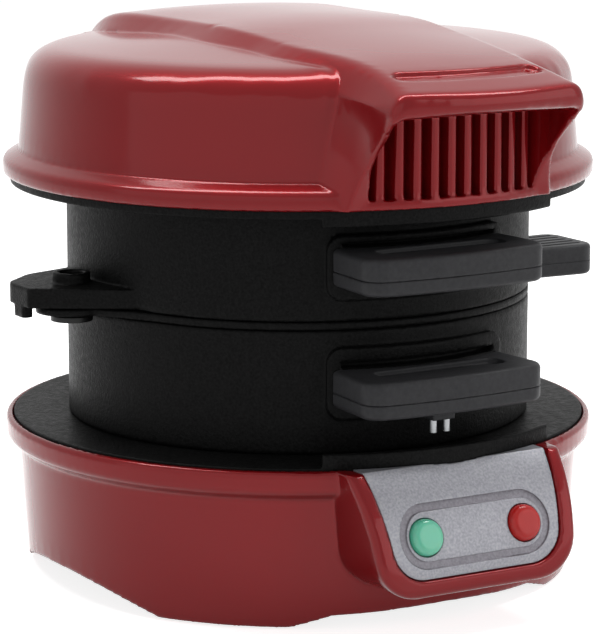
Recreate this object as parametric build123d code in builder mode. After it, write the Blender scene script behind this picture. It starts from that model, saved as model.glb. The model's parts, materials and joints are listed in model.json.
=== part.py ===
from build123d import *
import os
from math import asin, cos, radians, sin, tan

# Breakfast sandwich maker: a red base and a red lid, each with a heating plate, and between them
# two cooking rings with a swinging cooking plate, all hung on one hinge pin at the back.
# Millimetres. +Z is up, the front of the machine faces -Y, and z = 0 is the table.
# The rings, the plates, the base and the lid share one upright stack axis.

# ---------------------------------------------------------------- driving dimensions
# Cooking rings and the swinging plate
ring_r = 60.0             # outside radius of both rings and of the cooking plate
ring_wall = 4.5
ring_edge_r = 0.5
bottom_ring_h = 30.7
top_ring_h = 27.2
cook_plate_t = 1.9
cook_dish_depth = 0.5     # the middle of the cooking plate lies a little lower
stack_gap = 0.15          # play between the pieces that lie on each other

# Heating plates
heat_plate_r = 74.35
heat_plate_t = 2.6
platform_r = 50.5         # raised cooking face that reaches into the ring
platform_h = 1.8
plate_edge_r = 0.5
lip_half_angle = 26.3     # the upright lip along the front of each heating plate
lip_t = 2.0
lip_h = 3.3
upper_lip_drop = 2.0
plate_screw_inset = 8.35  # the upper plate's screws stand this far inside its rim
plate_screw_l = 10.0
post_l = 16.0             # the lid's posts for those screws
post_end_r = 3.5
quarter_azimuths = (45, 135, 225, 315)

# Heating elements, heat reflectors and thermostats
element_r = 36.0
element_tube_r = 3.2
element_depth = 4.0       # height of the cast rail that holds the tube
element_open = 20.0       # half angle that the horseshoe leaves open at the back
element_leg = 9.0
rail_half_w = 5.0
spoke_r = 46.0            # posts that carry the reflector
spoke_post_r = 3.2
spoke_azimuths = (60, 180, 300)
reflector_r = 54.0
reflector_depth = 10.5
reflector_flange_gap = 1.2
reflector_t = 0.8
reflector_hole_r = 6.0
reflector_screw_r = 1.15
reflector_head_r = 2.6
thermostat_r = 8.0
thermostat_h = 7.0
thermostat_cap_r = 5.5
thermostat_cap_h = 2.0
tab_x = 3.2               # its two flat connector tabs
tab_l = 5.0
tab_t = 0.8
fuse_y = 18.0
fuse_r = 2.0
fuse_l = 14.0
block_y = 44.0            # terminal block on the bottom cover
block_l = 26.0
block_w = 12.0
block_h = 9.0
block_well = 5.0
block_pitch = 8.0

# Base
base_top_z = 41.2         # upper face of the lower heating plate's rim
foot_r = 70.8             # outside radius of the base at the table
skirt_top_r = 73.2        # and under the rim bead
bead_r = 76.4
bead_h = 5.3
bead_slope_h = 2.4
base_wall = 2.4
ledge_w = 4.75            # inner ledge that the heating plate lies on
foot_lift = 0.6           # the rubber feet stand this far below the skirt
rebate_gap = 0.3          # round a heating plate in its rim
side_arch_half = 37.0
side_arch_h = 7.6
front_arch_half = 38.0
front_arch_h = 4.4
cover_z = 9.0             # bottom cover inside the skirt
cover_t = 2.0
cover_gap = 0.4
boss_inset = 8.3          # its screw bosses stand this far inside the skirt's foot
boss_azimuths = (35, 145, 215, 325)
boss_out_r = 4.2
cover_screw_l = 13.0
foot_inset = 11.3         # and the rubber feet this far
foot_pad_r = 6.0
foot_pad_t = 3.0
foot_cup_wall = 1.6
vent_r = 34.0
vent_count = 10
vent_l = 18.0
vent_w = 3.0

# Control pod on the front of the base
pod_half_w = 30.8
pod_bottom_z = 11.2
pod_corner_r = 11.0
pod_edge_r = 1.6
pod_frame_w = 4.2         # red frame round the silver panel
pod_axis_y = -45.7        # the pod's face is part of a cylinder that lies along X
pod_axis_z = 12.5
pod_face_r = 41.0
pod_wall = 3.0
pod_taper = 3.3           # the outline is that much narrower at the bottom, each side
panel_inset = 0.7         # the panel lies this far below the crest of the frame
panel_t = 1.4
panel_gap = 0.25
groove_half_l = 21.5      # long oval groove round the two lamps
groove_h = 15.0
groove_w = 1.8
groove_depth = 0.5
lamp_x = 14.2
lamp_z = 25.6
lens_r = 4.6
lens_dome = 1.7
lens_wall = 1.6
lens_flange_r = 5.7
lens_flange_t = 1.0
bulb_r = 2.6
bulb_back = 12.3          # depths of the bulb and its holder below the panel's face
bulb_tip = 3.4
holder_back = 14.0

# Hinge at the back
hinge_y = 83.0
hinge_z = 73.0
pin_r = 2.5
pin_play = 0.05           # radial running clearance of every hinge eye
pin_over = 1.8            # the pin stands out of the posts by this, for its clips
clip_r = 4.6
clip_t = 0.9
clip_groove_r = 2.0
eye_r = 6.5
eye_gap = 0.3             # between neighbouring eyes
bottom_eye_half = 6.0     # the bottom ring's eye is in the middle
top_eye_w = 4.0
lid_eye_w = 4.0
post_w = 4.5
post_r = 7.0
gusset_w = 3.5
gusset_t = 2.4
gusset_h = 8.0
pedestal_half_w = 21.0
pedestal_back_y = 90.0
pedestal_z = 12.0
pedestal_corner_r = 6.0
bracket_z = 38.0
bracket_t = 3.5
bracket_inset = 2.95      # the bracket's front edge clears the heating plate by this
bracket_screw_x = 8.0
bracket_screw_y = 83.5
bracket_screw_l = 7.0
gland_z = 22.0            # the cord leaves through a bush in the pedestal
gland_r = 6.0
gland_bore_r = 3.6
gland_proud = 3.0
gland_flange = 1.6
gland_lock = 1.2

# Lid
lid_bead_r = 76.2
lid_bead_h = 4.7
lid_bead_slope_h = 1.8
lid_low_r = 72.4          # the wall just above the bead
lid_high_r = 70.0         # and where it would meet the crown
lid_crown_edge_z = 135.7
lid_crown_z = 140.5
lid_shoulder_r = 9.0
lid_wall = 2.4
lid_hollow_z = 126.0      # foot of the hollow inside the spine
spine_edge_r = 4.5
nose_y = -92.4            # front edge of the brim that serves as the lid's handle
nose_half_w = 27.3
nose_bow = 4.4
nose_corner_r = 5.0
nose_edge_r = 2.6
nose_slope = 16.0
nose_top_z = 134.4        # height of the slope above the middle of the brim
nose_top_y = -86.0
brim_under_z = 127.2
grille_low_z = 105.9
grille_back_inset = 1.0   # the grille's back lies this far inside the lid's wall
grille_back_half = 22.8
grille_front_half = 25.2
grille_pitch = 4.6
grille_count = 10
rib_w = 2.2
rib_front_r = 75.8
slot_l = 36.5             # long shallow recess on top of the brim, bent round the stack axis
slot_w = 5.0
slot_depth = 1.1
slot_r = 80.3
lid_screw_x = 7.2
lid_screw_z = 117.5
lid_screw_l = 14.5
lid_boss_r = 3.4
lid_boss_l = 7.0
lid_bracket_t = 3.6       # thickness of the lid's hinge bracket in front of the pin's axis
lid_bracket_gap = 0.1
lid_bracket_over = 6.0    # it reaches this far above its screws

# Ring handles
pad_half_angle = 24.3     # frame cast on the ring round the root of the handle
pad_t = 2.0
pad_corner_r = 4.0
pocket_half_angle = 21.0  # slot between the handle's root and the frame's upper border
pocket_depth = 1.2
bottom_pad_border = 3.6
top_pad_border = 1.9
handle_t = 9.4
handle_low_t = 3.7        # thickness of the lower half
handle_root_half = 24.2
handle_half_w = 25.9
handle_front_y = -78.6
handle_bow = 2.2
handle_corner_r = 5.0
handle_edge_r = 1.4
dish_l = 36.0             # shallow finger dish on top
dish_w = 6.5
dish_y = -67.5
dish_depth = 1.3
dish_corner_r = 2.5
handle_screw_x = 8.0
handle_screw_y = -67.0
tongue_half_w = 13.0      # cast tongue on the ring that the halves close over
tongue_reach = 71.0
tongue_t = 3.0
tongue_corner_r = 3.0
fit_gap = 0.15            # between a piece and the pocket that takes it
bottom_handle_z = 53.4
top_handle_z = 83.3
bottom_pad_z = 50.0
bottom_pad_h = 18.0
top_pad_z = 79.5
top_pad_h = 16.2
stop_x = 1.9              # two stop pins below the lower handle, in a small tab
stop_y = -67.6
stop_r = 0.9
stop_drop = 6.6
stop_tab_half_w = 3.2
stop_tab_half_l = 2.0
stop_tab_drop = 3.4

# Hinge arms of the rings
arm_low_z = 62.0
arm_root_inset = 2.5
top_arm_h = 14.0

# Cooking plate: pivot on the left, handle on the right
pivot_x = -66.0
pivot_pin_r = 3.0
pivot_head_r = 5.3
washer_r = 5.0
washer_t = 0.6
ear_r = 9.0
lug_reach = 79.6
lug_t = 5.0
lug_gap = 0.3
lug_hook_t = 2.8
lug_hook_w = 5.0
lug_hook_drop = 8.0
boss_r = 4.75
boss_h = 2.7
plate_handle_reach = 88.5
plate_handle_root = 61.6
plate_handle_half_w = 11.0
plate_handle_flare = 1.5
plate_handle_corner_r = 4.5
plate_handle_low_z = 69.7
plate_handle_h = 8.3
plate_handle_edge_r = 1.2
plate_tongue_half_w = 6.5
plate_tongue_l = 17.0
plate_screw_out = 12.0    # the handle's screw stands this far outside the plate
ridge_count = 5
ridge_pitch = 3.4
ridge_l = 19.0
ridge_w = 1.3
ridge_depth = 0.7

# Screws
screw_r = 1.5
screw_head_r = 2.9
screw_head_h = 1.6
screw_play = 0.2
screw_bite = 0.2          # a screw's hole in plastic is that much smaller than its thread

# ---------------------------------------------------------------- the frame and the levels
# The origin lies on the table under the middle of the whole width, and the stack axis beside it.
stack_x = (lug_reach - plate_handle_reach) / 2
STACK_AXIS = Axis((stack_x, 0, 0), (0, 0, 1))

bottom_ring_z = base_top_z + stack_gap
cook_plate_z = bottom_ring_z + bottom_ring_h + stack_gap
top_ring_z = cook_plate_z + cook_plate_t + stack_gap
upper_plate_z = top_ring_z + top_ring_h + stack_gap
ledge_z = base_top_z - heat_plate_t
rim_z = base_top_z - 0.3
skirt_top_z = rim_z - bead_h - bead_slope_h
lid_seat_z = upper_plate_z + heat_plate_t
lid_low_z = lid_seat_z - 0.6
rebate_r = heat_plate_r + rebate_gap
ring_in_r = ring_r - ring_wall
seam_azimuth = 100        # where the seams of the round bodies lie, on the plain side
far = 2 * bead_r          # safely outside the whole machine


def level(z):
    "A horizontal plane at height z, centred on the stack axis."
    return Plane((stack_x, 0, z))


def radial(azimuth=0.0):
    "An upright plane from the stack axis outwards: x is the radius, y the height, 0 the front."
    a = radians(azimuth)
    return Plane((stack_x, 0, 0), x_dir=(sin(a), -cos(a), 0), z_dir=(-cos(a), -sin(a), 0))


def side(x=0.0):
    "An upright plane seen from the right: x is the depth, front negative, and y the height."
    return Plane((stack_x + x, 0, 0), x_dir=(0, 1, 0), z_dir=(1, 0, 0))


def front(y=0.0):
    "An upright plane seen from the front, at depth y: x is the width and y the height."
    return Plane((stack_x, y, 0), x_dir=(1, 0, 0), z_dir=(0, -1, 0))


def outline(plane, points, radii=0.0):
    "A closed face on a plane, with its corners rounded."
    with BuildSketch(plane) as face:
        with BuildLine():
            if radii:
                FilletPolyline(*points, radius=radii, close=True)
            else:
                Polyline(*points, close=True)
        make_face()
    return face.sketch


def turned(points, radii=0.0, mode=Mode.ADD):
    "A round body from its half profile of radius and height, with its seam on the plain side."
    revolve(outline(radial(seam_azimuth), points, radii), axis=STACK_AXIS, mode=mode)


def band(r_in, r_out, z_low, z_high, mode=Mode.ADD):
    "A full round band or disc about the stack axis."
    turned([(r_in, z_low), (r_out, z_low), (r_out, z_high), (r_in, z_high)], mode=mode)


def sector(r_in, r_out, z_low, z_high, half_angle, azimuth=0.0, mode=Mode.ADD):
    "Part of a round band, half_angle to each side of its azimuth."
    points = [(r_in, z_low), (r_out, z_low), (r_out, z_high), (r_in, z_high)]
    face = outline(radial(azimuth - half_angle), points)
    revolve(face, axis=STACK_AXIS, revolution_arc=2 * half_angle, mode=mode)


def across(points, x_low, x_high, radii=0.0, mode=Mode.ADD):
    "A block with the given side profile, from one width to another."
    extrude(outline(side(x_low), points, radii), amount=x_high - x_low, mode=mode)


def slab(points, z_low, z_high, radii=0.0, mode=Mode.ADD):
    "A block with the given plan, from one height to another."
    extrude(outline(level(z_low), points, radii), amount=z_high - z_low, mode=mode)


def block(half_w, y_low, y_high, z_low, z_high, corner_r=0.0, mode=Mode.ADD):
    "A block from side to side, with round upright corners behind."
    points = [(-half_w, y_low), (half_w, y_low), (half_w, y_high), (-half_w, y_high)]
    radii = [0, 0, corner_r, corner_r] if corner_r else 0.0
    slab(points, z_low, z_high, radii, mode)


def rod_across(y, z, radius, x_low, x_high, mode=Mode.ADD):
    "A round bar or hole that lies along X."
    with BuildSketch(side(x_low)) as face:
        with Locations((y, z)):
            Circle(radius)
    extrude(face.sketch, amount=x_high - x_low, mode=mode)


def upright_rod(x, y, radius, z_low, z_high, mode=Mode.ADD):
    "A round bar or hole that stands upright."
    with BuildSketch(level(z_low)) as face:
        with Locations((x, y)):
            Circle(radius)
    extrude(face.sketch, amount=z_high - z_low, mode=mode)


def rod_back(x, z, radius, y_back, length, mode=Mode.ADD):
    "A round bar or hole that runs forward from a depth behind the machine."
    with BuildSketch(front(y_back)) as face:
        with Locations((x, z)):
            Circle(radius)
    extrude(face.sketch, amount=length, mode=mode)


def eye(x_low, x_high, arm, radius=eye_r):
    "A hinge eye round the pin with its arm."
    across(arm, x_low, x_high)
    rod_across(hinge_y, hinge_z, radius, x_low, x_high)


def pin_bore(half_length):
    "The hole for the hinge pin through the eyes of a piece."
    rod_across(hinge_y, hinge_z, pin_r + pin_play, -half_length, half_length, Mode.SUBTRACT)


def at_azimuth(radius, azimuth):
    "Plan position at a radius and azimuth from the front."
    a = radians(azimuth)
    return (radius * sin(a), -radius * cos(a))


def lamp_plane(x, depth=0.0):
    "A plane square to the panel's face at a lamp, depth below that face."
    face_r = pod_face_r - panel_inset
    tilt = asin((lamp_z - pod_axis_z) / face_r)
    r = face_r - depth
    return Plane(
        (stack_x + x, pod_axis_y - r * cos(tilt), pod_axis_z + r * sin(tilt)),
        x_dir=(1, 0, 0),
        z_dir=(0, -cos(tilt), sin(tilt)),
    )


def lamp_rod(x, radius, depth_low, depth_high, mode=Mode.ADD):
    "A round body on a lamp's axis between two depths below the panel's face."
    with BuildSketch(lamp_plane(x, depth_low)) as face:
        Circle(radius)
    extrude(face.sketch, amount=depth_low - depth_high, mode=mode)


def pod_prism(inset, top_z, mode=Mode.ADD):
    "The control pod's outline seen from the front, as a prism: drawn in, with round corners."
    half_top = pod_half_w - inset
    half_low = pod_half_w - pod_taper - inset
    low_z = pod_bottom_z + inset
    corner_r = pod_corner_r - inset / 2
    points = [
        (-half_top, top_z),
        (half_top, top_z),
        (half_top, rim_z),
        (half_low, low_z),
        (-half_low, low_z),
        (-half_top, rim_z),
    ]
    face = outline(front(-60), points, [0, 0, 0, corner_r, corner_r, 0])
    extrude(face, amount=40, mode=mode)


def pod_shell(r_in, r_out, z_low, z_high, mode=Mode.ADD):
    "The space between two cylinders that share the pod's axis, over the pod's width."
    x = pod_half_w + 5
    with BuildSketch(side(-x)) as face:
        with Locations((pod_axis_y, pod_axis_z)):
            Circle(r_out)
            if r_in:
                Circle(r_in, mode=Mode.SUBTRACT)
        with Locations((pod_axis_y - r_out, (z_low + z_high) / 2)):
            Rectangle(2 * r_out, z_high - z_low, mode=Mode.INTERSECT)
    extrude(face.sketch, amount=2 * x, mode=mode)


os.makedirs("parts", exist_ok=True)

# ---------------------------------------------------------------- base: red housing
pod_back_r = pod_face_r - panel_inset - panel_t
ledge_in_r = rebate_r - ledge_w
boss_centre_r = foot_r - boss_inset
foot_centre_r = foot_r - foot_inset


def skirt_in_r(z):
    "Radius of the skirt's inner face at a height."
    return foot_r - base_wall + (skirt_top_r - foot_r) * z / skirt_top_z


with BuildPart() as pod:
    # The pod's face is part of a cylinder along X, inside the rounded outline
    pod_prism(0, rim_z + 5)
    pod_shell(0, pod_face_r, 0, rim_z, mode=Mode.INTERSECT)
    fillet(pod.faces().sort_by(Axis.Y)[0].edges(), pod_edge_r)

with BuildPart() as pocket_zone:
    pod_shell(pod_back_r, pod_face_r + 9, 0, rim_z + 5)
    band(rebate_r, far, ledge_z, rim_z + 5)

with BuildPart() as panel_pocket:
    pod_prism(pod_frame_w, rim_z + 5)
    add(pocket_zone.part, mode=Mode.INTERSECT)

with BuildPart() as lamp_room:
    room_low_z = pod_bottom_z + pod_wall + 0.5
    room_high_z = ledge_z - pod_wall - 2.5
    with BuildSketch(front(-55)) as room_face:
        with Locations((0, (room_low_z + room_high_z) / 2)):
            Rectangle(2 * (pod_half_w - 8), room_high_z - room_low_z)
    extrude(room_face.sketch, amount=40)
    pod_shell(0, pod_back_r - pod_wall, 0, rim_z, mode=Mode.INTERSECT)

with BuildPart() as base_housing:
    turned(
        [
            (foot_r, foot_lift),
            (skirt_top_r, skirt_top_z),
            (bead_r, skirt_top_z + bead_slope_h),
            (bead_r, rim_z),
            (40, rim_z),
            (40, foot_lift),
        ],
        [0, 1.5, 2.2, 1.4, 0, 0],
    )
    add(pod.part)
    # Pedestal behind, for the hinge bracket and the cord
    block(pedestal_half_w, 50, pedestal_back_y, pedestal_z, bracket_z, pedestal_corner_r)
    # Hollow inside, with a ledge for the heating plate
    turned(
        [
            (0, 0),
            (skirt_in_r(0), 0),
            (skirt_in_r(skirt_top_z), skirt_top_z),
            (ledge_in_r, ledge_z - base_wall),
            (ledge_in_r, ledge_z + 10),
            (0, ledge_z + 10),
        ],
        mode=Mode.SUBTRACT,
    )
    band(0, rebate_r, ledge_z, ledge_z + 10, mode=Mode.SUBTRACT)
    block(
        pedestal_half_w - base_wall,
        60,
        pedestal_back_y - base_wall,
        pedestal_z + base_wall,
        bracket_z - base_wall,
        pedestal_corner_r - base_wall,
        Mode.SUBTRACT,
    )
    # The panel's pocket, open to the rim above, and room for the lamps behind it
    add(panel_pocket.part, mode=Mode.SUBTRACT)
    add(lamp_room.part, mode=Mode.SUBTRACT)
    for x in (-lamp_x, lamp_x):
        lamp_rod(x, lens_flange_r + fit_gap, pod_wall + 6, 0, Mode.SUBTRACT)
    # Arches between the four feet
    for x_low in (-1.5 * foot_r, 0.5 * foot_r):
        with BuildSketch(side(x_low)) as arch:
            with BuildLine():
                ThreePointArc((-side_arch_half, 0), (0, side_arch_h), (side_arch_half, 0))
                Polyline(
                    (side_arch_half, 0),
                    (side_arch_half, -5),
                    (-side_arch_half, -5),
                    (-side_arch_half, 0),
                )
            make_face()
        extrude(arch.sketch, amount=foot_r, mode=Mode.SUBTRACT)
    arch_points = [
        (-front_arch_half - 4, foot_lift),
        (-front_arch_half, foot_lift),
        (-front_arch_half + 9, front_arch_h - 0.9),
        (0, front_arch_h + 0.2),
        (front_arch_half - 9, front_arch_h - 0.9),
        (front_arch_half, foot_lift),
        (front_arch_half + 4, foot_lift),
        (front_arch_half + 4, -5),
        (-front_arch_half - 4, -5),
    ]
    arch_face = outline(front(far), arch_points, [0, 8, 8, 0, 8, 8, 0, 0, 0])
    extrude(arch_face, amount=2 * far, mode=Mode.SUBTRACT)
    # Bosses for the bottom cover's screws, from the ledge down to the cover
    for azimuth in boss_azimuths:
        x, y = at_azimuth(boss_centre_r, azimuth)
        boss_low_z = cover_z + cover_t + stack_gap
        with BuildSketch(level(boss_low_z)) as boss_face:
            with Locations(Location((x, y), azimuth - 90)):
                with Locations((1.8, 0)):
                    SlotCenterToCenter(3.6, 2 * boss_out_r)
        extrude(boss_face.sketch, amount=ledge_z - 0.5 - boss_low_z)
        upright_rod(x, y, screw_r - screw_bite, cover_z, cover_z + 16, Mode.SUBTRACT)
    for x in (-bracket_screw_x, bracket_screw_x):
        upright_rod(x, bracket_screw_y, screw_r + 2, bracket_z - 9, bracket_z - 1)
        upright_rod(x, bracket_screw_y, screw_r, bracket_z - 8, bracket_z + 1, Mode.SUBTRACT)
    rod_back(0, gland_z, gland_r + fit_gap, pedestal_back_y + 1, base_wall + 2, Mode.SUBTRACT)
base_housing.part.label = "base_housing"
export_step(base_housing.part, "parts/base_housing.step")

# ---------------------------------------------------------------- base: cover, feet, panel, lamps
cover_r = min(skirt_in_r(cover_z), skirt_in_r(cover_z + cover_t)) - cover_gap

with BuildPart() as base_bottom_cover:
    band(0, cover_r, cover_z, cover_z + cover_t)
    for azimuth in quarter_azimuths:
        x, y = at_azimuth(foot_centre_r, azimuth)
        cup_r = foot_pad_r + foot_cup_wall
        upright_rod(x, y, cup_r, foot_pad_t - foot_cup_wall, cover_z + 0.5)
        upright_rod(x, y, foot_pad_r + fit_gap, 0, foot_pad_t, Mode.SUBTRACT)
    for azimuth in boss_azimuths:
        x, y = at_azimuth(boss_centre_r, azimuth)
        upright_rod(x, y, screw_r + screw_play, cover_z - 1, cover_z + 4, Mode.SUBTRACT)
    with BuildSketch(level(cover_z - 1)) as vents:
        with PolarLocations(vent_r, vent_count):
            SlotOverall(vent_l, vent_w)
    extrude(vents.sketch, amount=cover_t + 2, mode=Mode.SUBTRACT)
base_bottom_cover.part.label = "base_bottom_cover"
export_step(base_bottom_cover.part, "parts/base_bottom_cover.step")

with BuildPart() as rubber_feet:
    for azimuth in quarter_azimuths:
        x, y = at_azimuth(foot_centre_r, azimuth)
        upright_rod(x, y, foot_pad_r, 0, foot_pad_t)
    fillet(rubber_feet.faces().group_by(Axis.Z)[0].edges(), 0.8)
rubber_feet.part.label = "rubber_feet"
export_step(rubber_feet.part, "parts/rubber_feet.step")

with BuildPart() as bottom_cover_screws:
    for azimuth in boss_azimuths:
        x, y = at_azimuth(boss_centre_r, azimuth)
        upright_rod(x, y, screw_r - screw_bite - 0.05, cover_z - 0.5, cover_z + cover_screw_l)
        upright_rod(x, y, screw_head_r, cover_z - screw_head_h, cover_z)
bottom_cover_screws.part.label = "bottom_cover_screws"
export_step(bottom_cover_screws.part, "parts/bottom_cover_screws.step")

with BuildPart() as panel_zone:
    pod_shell(pod_back_r + 0.05, pod_face_r + 9, 0, rim_z)
    band(rebate_r, far, ledge_z + 0.05, rim_z)
    band(0, rebate_r, ledge_z, rim_z + 1, mode=Mode.SUBTRACT)

with BuildPart() as panel_groove:
    with BuildSketch(front(-60)) as groove_face:
        with Locations((0, lamp_z)):
            SlotOverall(2 * groove_half_l, groove_h)
            SlotOverall(
                2 * (groove_half_l - groove_w), groove_h - 2 * groove_w, mode=Mode.SUBTRACT
            )
    extrude(groove_face.sketch, amount=40)
    groove_floor_r = pod_face_r - panel_inset - groove_depth
    pod_shell(groove_floor_r, pod_face_r + 5, 0, rim_z, Mode.INTERSECT)

with BuildPart() as control_panel:
    pod_prism(pod_frame_w + panel_gap, rim_z + 5)
    add(panel_zone.part, mode=Mode.INTERSECT)
    pod_shell(0, pod_face_r - panel_inset, 0, rim_z + 1, mode=Mode.INTERSECT)
    add(panel_groove.part, mode=Mode.SUBTRACT)
    for x in (-lamp_x, lamp_x):
        lamp_rod(x, lens_r + fit_gap, pod_wall + 6, -6, Mode.SUBTRACT)
control_panel.part.label = "control_panel"
export_step(control_panel.part, "parts/control_panel.step")

lens_flange_depth = panel_t + 0.6
for name, x in (("preheat_lens", -lamp_x), ("power_lens", lamp_x)):
    with BuildPart() as lens:
        lamp_rod(x, lens_flange_r, lens_flange_depth + lens_flange_t, lens_flange_depth)
        lamp_rod(x, lens_r, lens_flange_depth + 0.4, -lens_dome)
        lens_axis = Axis((stack_x, 0, 0), lamp_plane(x).z_dir)
        fillet(lens.edges().group_by(lens_axis)[-1], lens_dome - 0.1)
        lamp_rod(x, lens_r - lens_wall, lens_flange_depth + 2, 0.2, Mode.SUBTRACT)
    lens.part.label = name
    export_step(lens.part, f"parts/{name}.step")

with BuildPart() as lamp_holder:
    for x in (-lamp_x, lamp_x):
        lamp_rod(x, lens_flange_r, holder_back, lens_flange_depth + lens_flange_t + 0.1)
        lamp_rod(x, lens_flange_r - 1.4, holder_back - 1.5, 0, Mode.SUBTRACT)
    with BuildSketch(lamp_plane(0, holder_back + 1.5)) as bridge:
        Rectangle(2 * lamp_x + 10, 9)
        fillet(bridge.vertices(), 3)
    extrude(bridge.sketch, amount=1.6)
lamp_holder.part.label = "lamp_holder"
export_step(lamp_holder.part, "parts/lamp_holder.step")

with BuildPart() as indicator_lamps:
    for x in (-lamp_x, lamp_x):
        lamp_rod(x, bulb_r, bulb_back, bulb_tip)
    bulb_axis = Axis((0, 0, 0), lamp_plane(0).z_dir)
    fillet(indicator_lamps.edges().group_by(bulb_axis)[-1], bulb_r - 0.6)
indicator_lamps.part.label = "indicator_lamps"
export_step(indicator_lamps.part, "parts/indicator_lamps.step")

# ---------------------------------------------------------------- heating plates
plate_screw_r = heat_plate_r - plate_screw_inset


def heating_plate(face_z, up, lip):
    "Cast plate with a raised cooking face, a lip in front, an element rail and screw bosses."
    # up is 1 where the cooking face looks up and -1 where it looks down
    back_z = face_z - up * heat_plate_t
    turned(
        [
            (0, back_z),
            (heat_plate_r, back_z),
            (heat_plate_r, face_z + up * lip),
            (heat_plate_r - lip_t, face_z + up * lip),
            (heat_plate_r - lip_t, face_z),
            (platform_r, face_z),
            (platform_r, face_z + up * platform_h),
            (0, face_z + up * platform_h),
        ],
        [0] + 3 * [plate_edge_r] + [0] + 2 * [plate_edge_r + 0.3] + [0],
    )
    low, high = sorted((face_z, face_z + up * (lip + 1)))
    sector(
        heat_plate_r - lip_t - 1,
        heat_plate_r + 1,
        low,
        high,
        180 - lip_half_angle,
        180,
        Mode.SUBTRACT,
    )
    low, high = sorted((back_z + up * 0.5, back_z - up * element_depth))
    band(element_r - rail_half_w, element_r + rail_half_w, low, high)
    low, high = sorted((back_z + up * 0.5, back_z - up * reflector_depth))
    for azimuth in spoke_azimuths:
        x, y = at_azimuth(spoke_r, azimuth)
        upright_rod(x, y, spoke_post_r, low, high)


def element_tube(z, away, leg, radius, leg_r, mode=Mode.ADD):
    "The heating element: a horseshoe of tube whose two ends stand away from the plate."
    with BuildSketch(radial(180 + element_open)) as ring_face:
        with Locations((element_r, z)):
            Circle(radius)
    revolve(ring_face.sketch, axis=STACK_AXIS, revolution_arc=360 - 2 * element_open, mode=mode)
    for azimuth in (180 - element_open, 180 + element_open):
        x, y = at_azimuth(element_r, azimuth)
        low, high = sorted((z, z + away * leg))
        upright_rod(x, y, leg_r, low, high, mode)


lower_element_z = ledge_z - element_depth + 0.4
upper_back_z = upper_plate_z + heat_plate_t
upper_element_z = upper_back_z + element_depth - 0.4

with BuildPart() as lower_heating_plate:
    heating_plate(base_top_z, 1, lip_h)
    element_tube(
        lower_element_z, -1, element_leg, element_tube_r + 0.05, element_tube_r + 0.5, Mode.SUBTRACT
    )
    for azimuth in spoke_azimuths:
        x, y = at_azimuth(spoke_r, azimuth)
        upright_rod(x, y, reflector_screw_r + 0.05, ledge_z - 12, ledge_z - 3, Mode.SUBTRACT)
lower_heating_plate.part.label = "lower_heating_plate"
export_step(lower_heating_plate.part, "parts/lower_heating_plate.step")

with BuildPart() as upper_heating_plate:
    heating_plate(upper_plate_z, -1, upper_lip_drop)
    element_tube(
        upper_element_z, 1, element_leg, element_tube_r + 0.05, element_tube_r + 0.5, Mode.SUBTRACT
    )
    for azimuth in spoke_azimuths:
        x, y = at_azimuth(spoke_r, azimuth)
        upright_rod(
            x, y, reflector_screw_r + 0.05, upper_back_z + 3, upper_back_z + 12, Mode.SUBTRACT
        )
    for azimuth in quarter_azimuths:
        x, y = at_azimuth(plate_screw_r, azimuth)
        upright_rod(x, y, screw_r + screw_play, upper_plate_z - 1, upper_back_z + 1, Mode.SUBTRACT)
        upright_rod(
            x, y, screw_head_r + screw_play, upper_plate_z - 1, upper_plate_z + 1.3, Mode.SUBTRACT
        )
upper_heating_plate.part.label = "upper_heating_plate"
export_step(upper_heating_plate.part, "parts/upper_heating_plate.step")

with BuildPart() as lower_heating_element:
    element_tube(lower_element_z, -1, element_leg, element_tube_r, element_tube_r - 0.2)
lower_heating_element.part.label = "lower_heating_element"
export_step(lower_heating_element.part, "parts/lower_heating_element.step")

with BuildPart() as upper_heating_element:
    element_tube(upper_element_z, 1, element_leg, element_tube_r, element_tube_r - 0.2)
upper_heating_element.part.label = "upper_heating_element"
export_step(upper_heating_element.part, "parts/upper_heating_element.step")


def reflector(back_z, up):
    "Pressed steel pan behind a heating plate, with holes for the element's legs and the screws."
    pan_z = back_z - up * (reflector_depth + 0.1)
    turned(
        [
            (0, pan_z),
            (reflector_r - 3, pan_z),
            (reflector_r, back_z - up * reflector_flange_gap),
            (reflector_r + 3, back_z - up * reflector_flange_gap),
            (reflector_r + 3, back_z - up * (reflector_flange_gap + reflector_t)),
            (reflector_r + reflector_t, back_z - up * (reflector_flange_gap + reflector_t)),
            (reflector_r - 3 + reflector_t, pan_z - up * reflector_t),
            (0, pan_z - up * reflector_t),
        ]
    )
    band(0, reflector_hole_r, pan_z - 2, pan_z + 2, mode=Mode.SUBTRACT)
    for azimuth in (180 - element_open, 180 + element_open):
        x, y = at_azimuth(element_r, azimuth)
        upright_rod(x, y, element_tube_r + 1.2, pan_z - 2, pan_z + 2, Mode.SUBTRACT)
    for azimuth in spoke_azimuths:
        x, y = at_azimuth(spoke_r, azimuth)
        upright_rod(
            x, y, reflector_screw_r + screw_play, pan_z - 2, pan_z + 2, Mode.SUBTRACT
        )


with BuildPart() as lower_heat_reflector:
    reflector(ledge_z, 1)
lower_heat_reflector.part.label = "lower_heat_reflector"
export_step(lower_heat_reflector.part, "parts/lower_heat_reflector.step")

with BuildPart() as upper_heat_reflector:
    reflector(upper_back_z, -1)
upper_heat_reflector.part.label = "upper_heat_reflector"
export_step(upper_heat_reflector.part, "parts/upper_heat_reflector.step")


def reflector_screws(back_z, up):
    "The screws that hold a reflector to its plate."
    pan_z = back_z - up * (reflector_depth + 0.1 + reflector_t)
    for azimuth in spoke_azimuths:
        x, y = at_azimuth(spoke_r, azimuth)
        low, high = sorted((pan_z - up * 0.05, pan_z + up * 7))
        upright_rod(x, y, reflector_screw_r, low, high)
        low, high = sorted((pan_z - up * 0.05, pan_z - up * 1.6))
        upright_rod(x, y, reflector_head_r, low, high)


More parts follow.
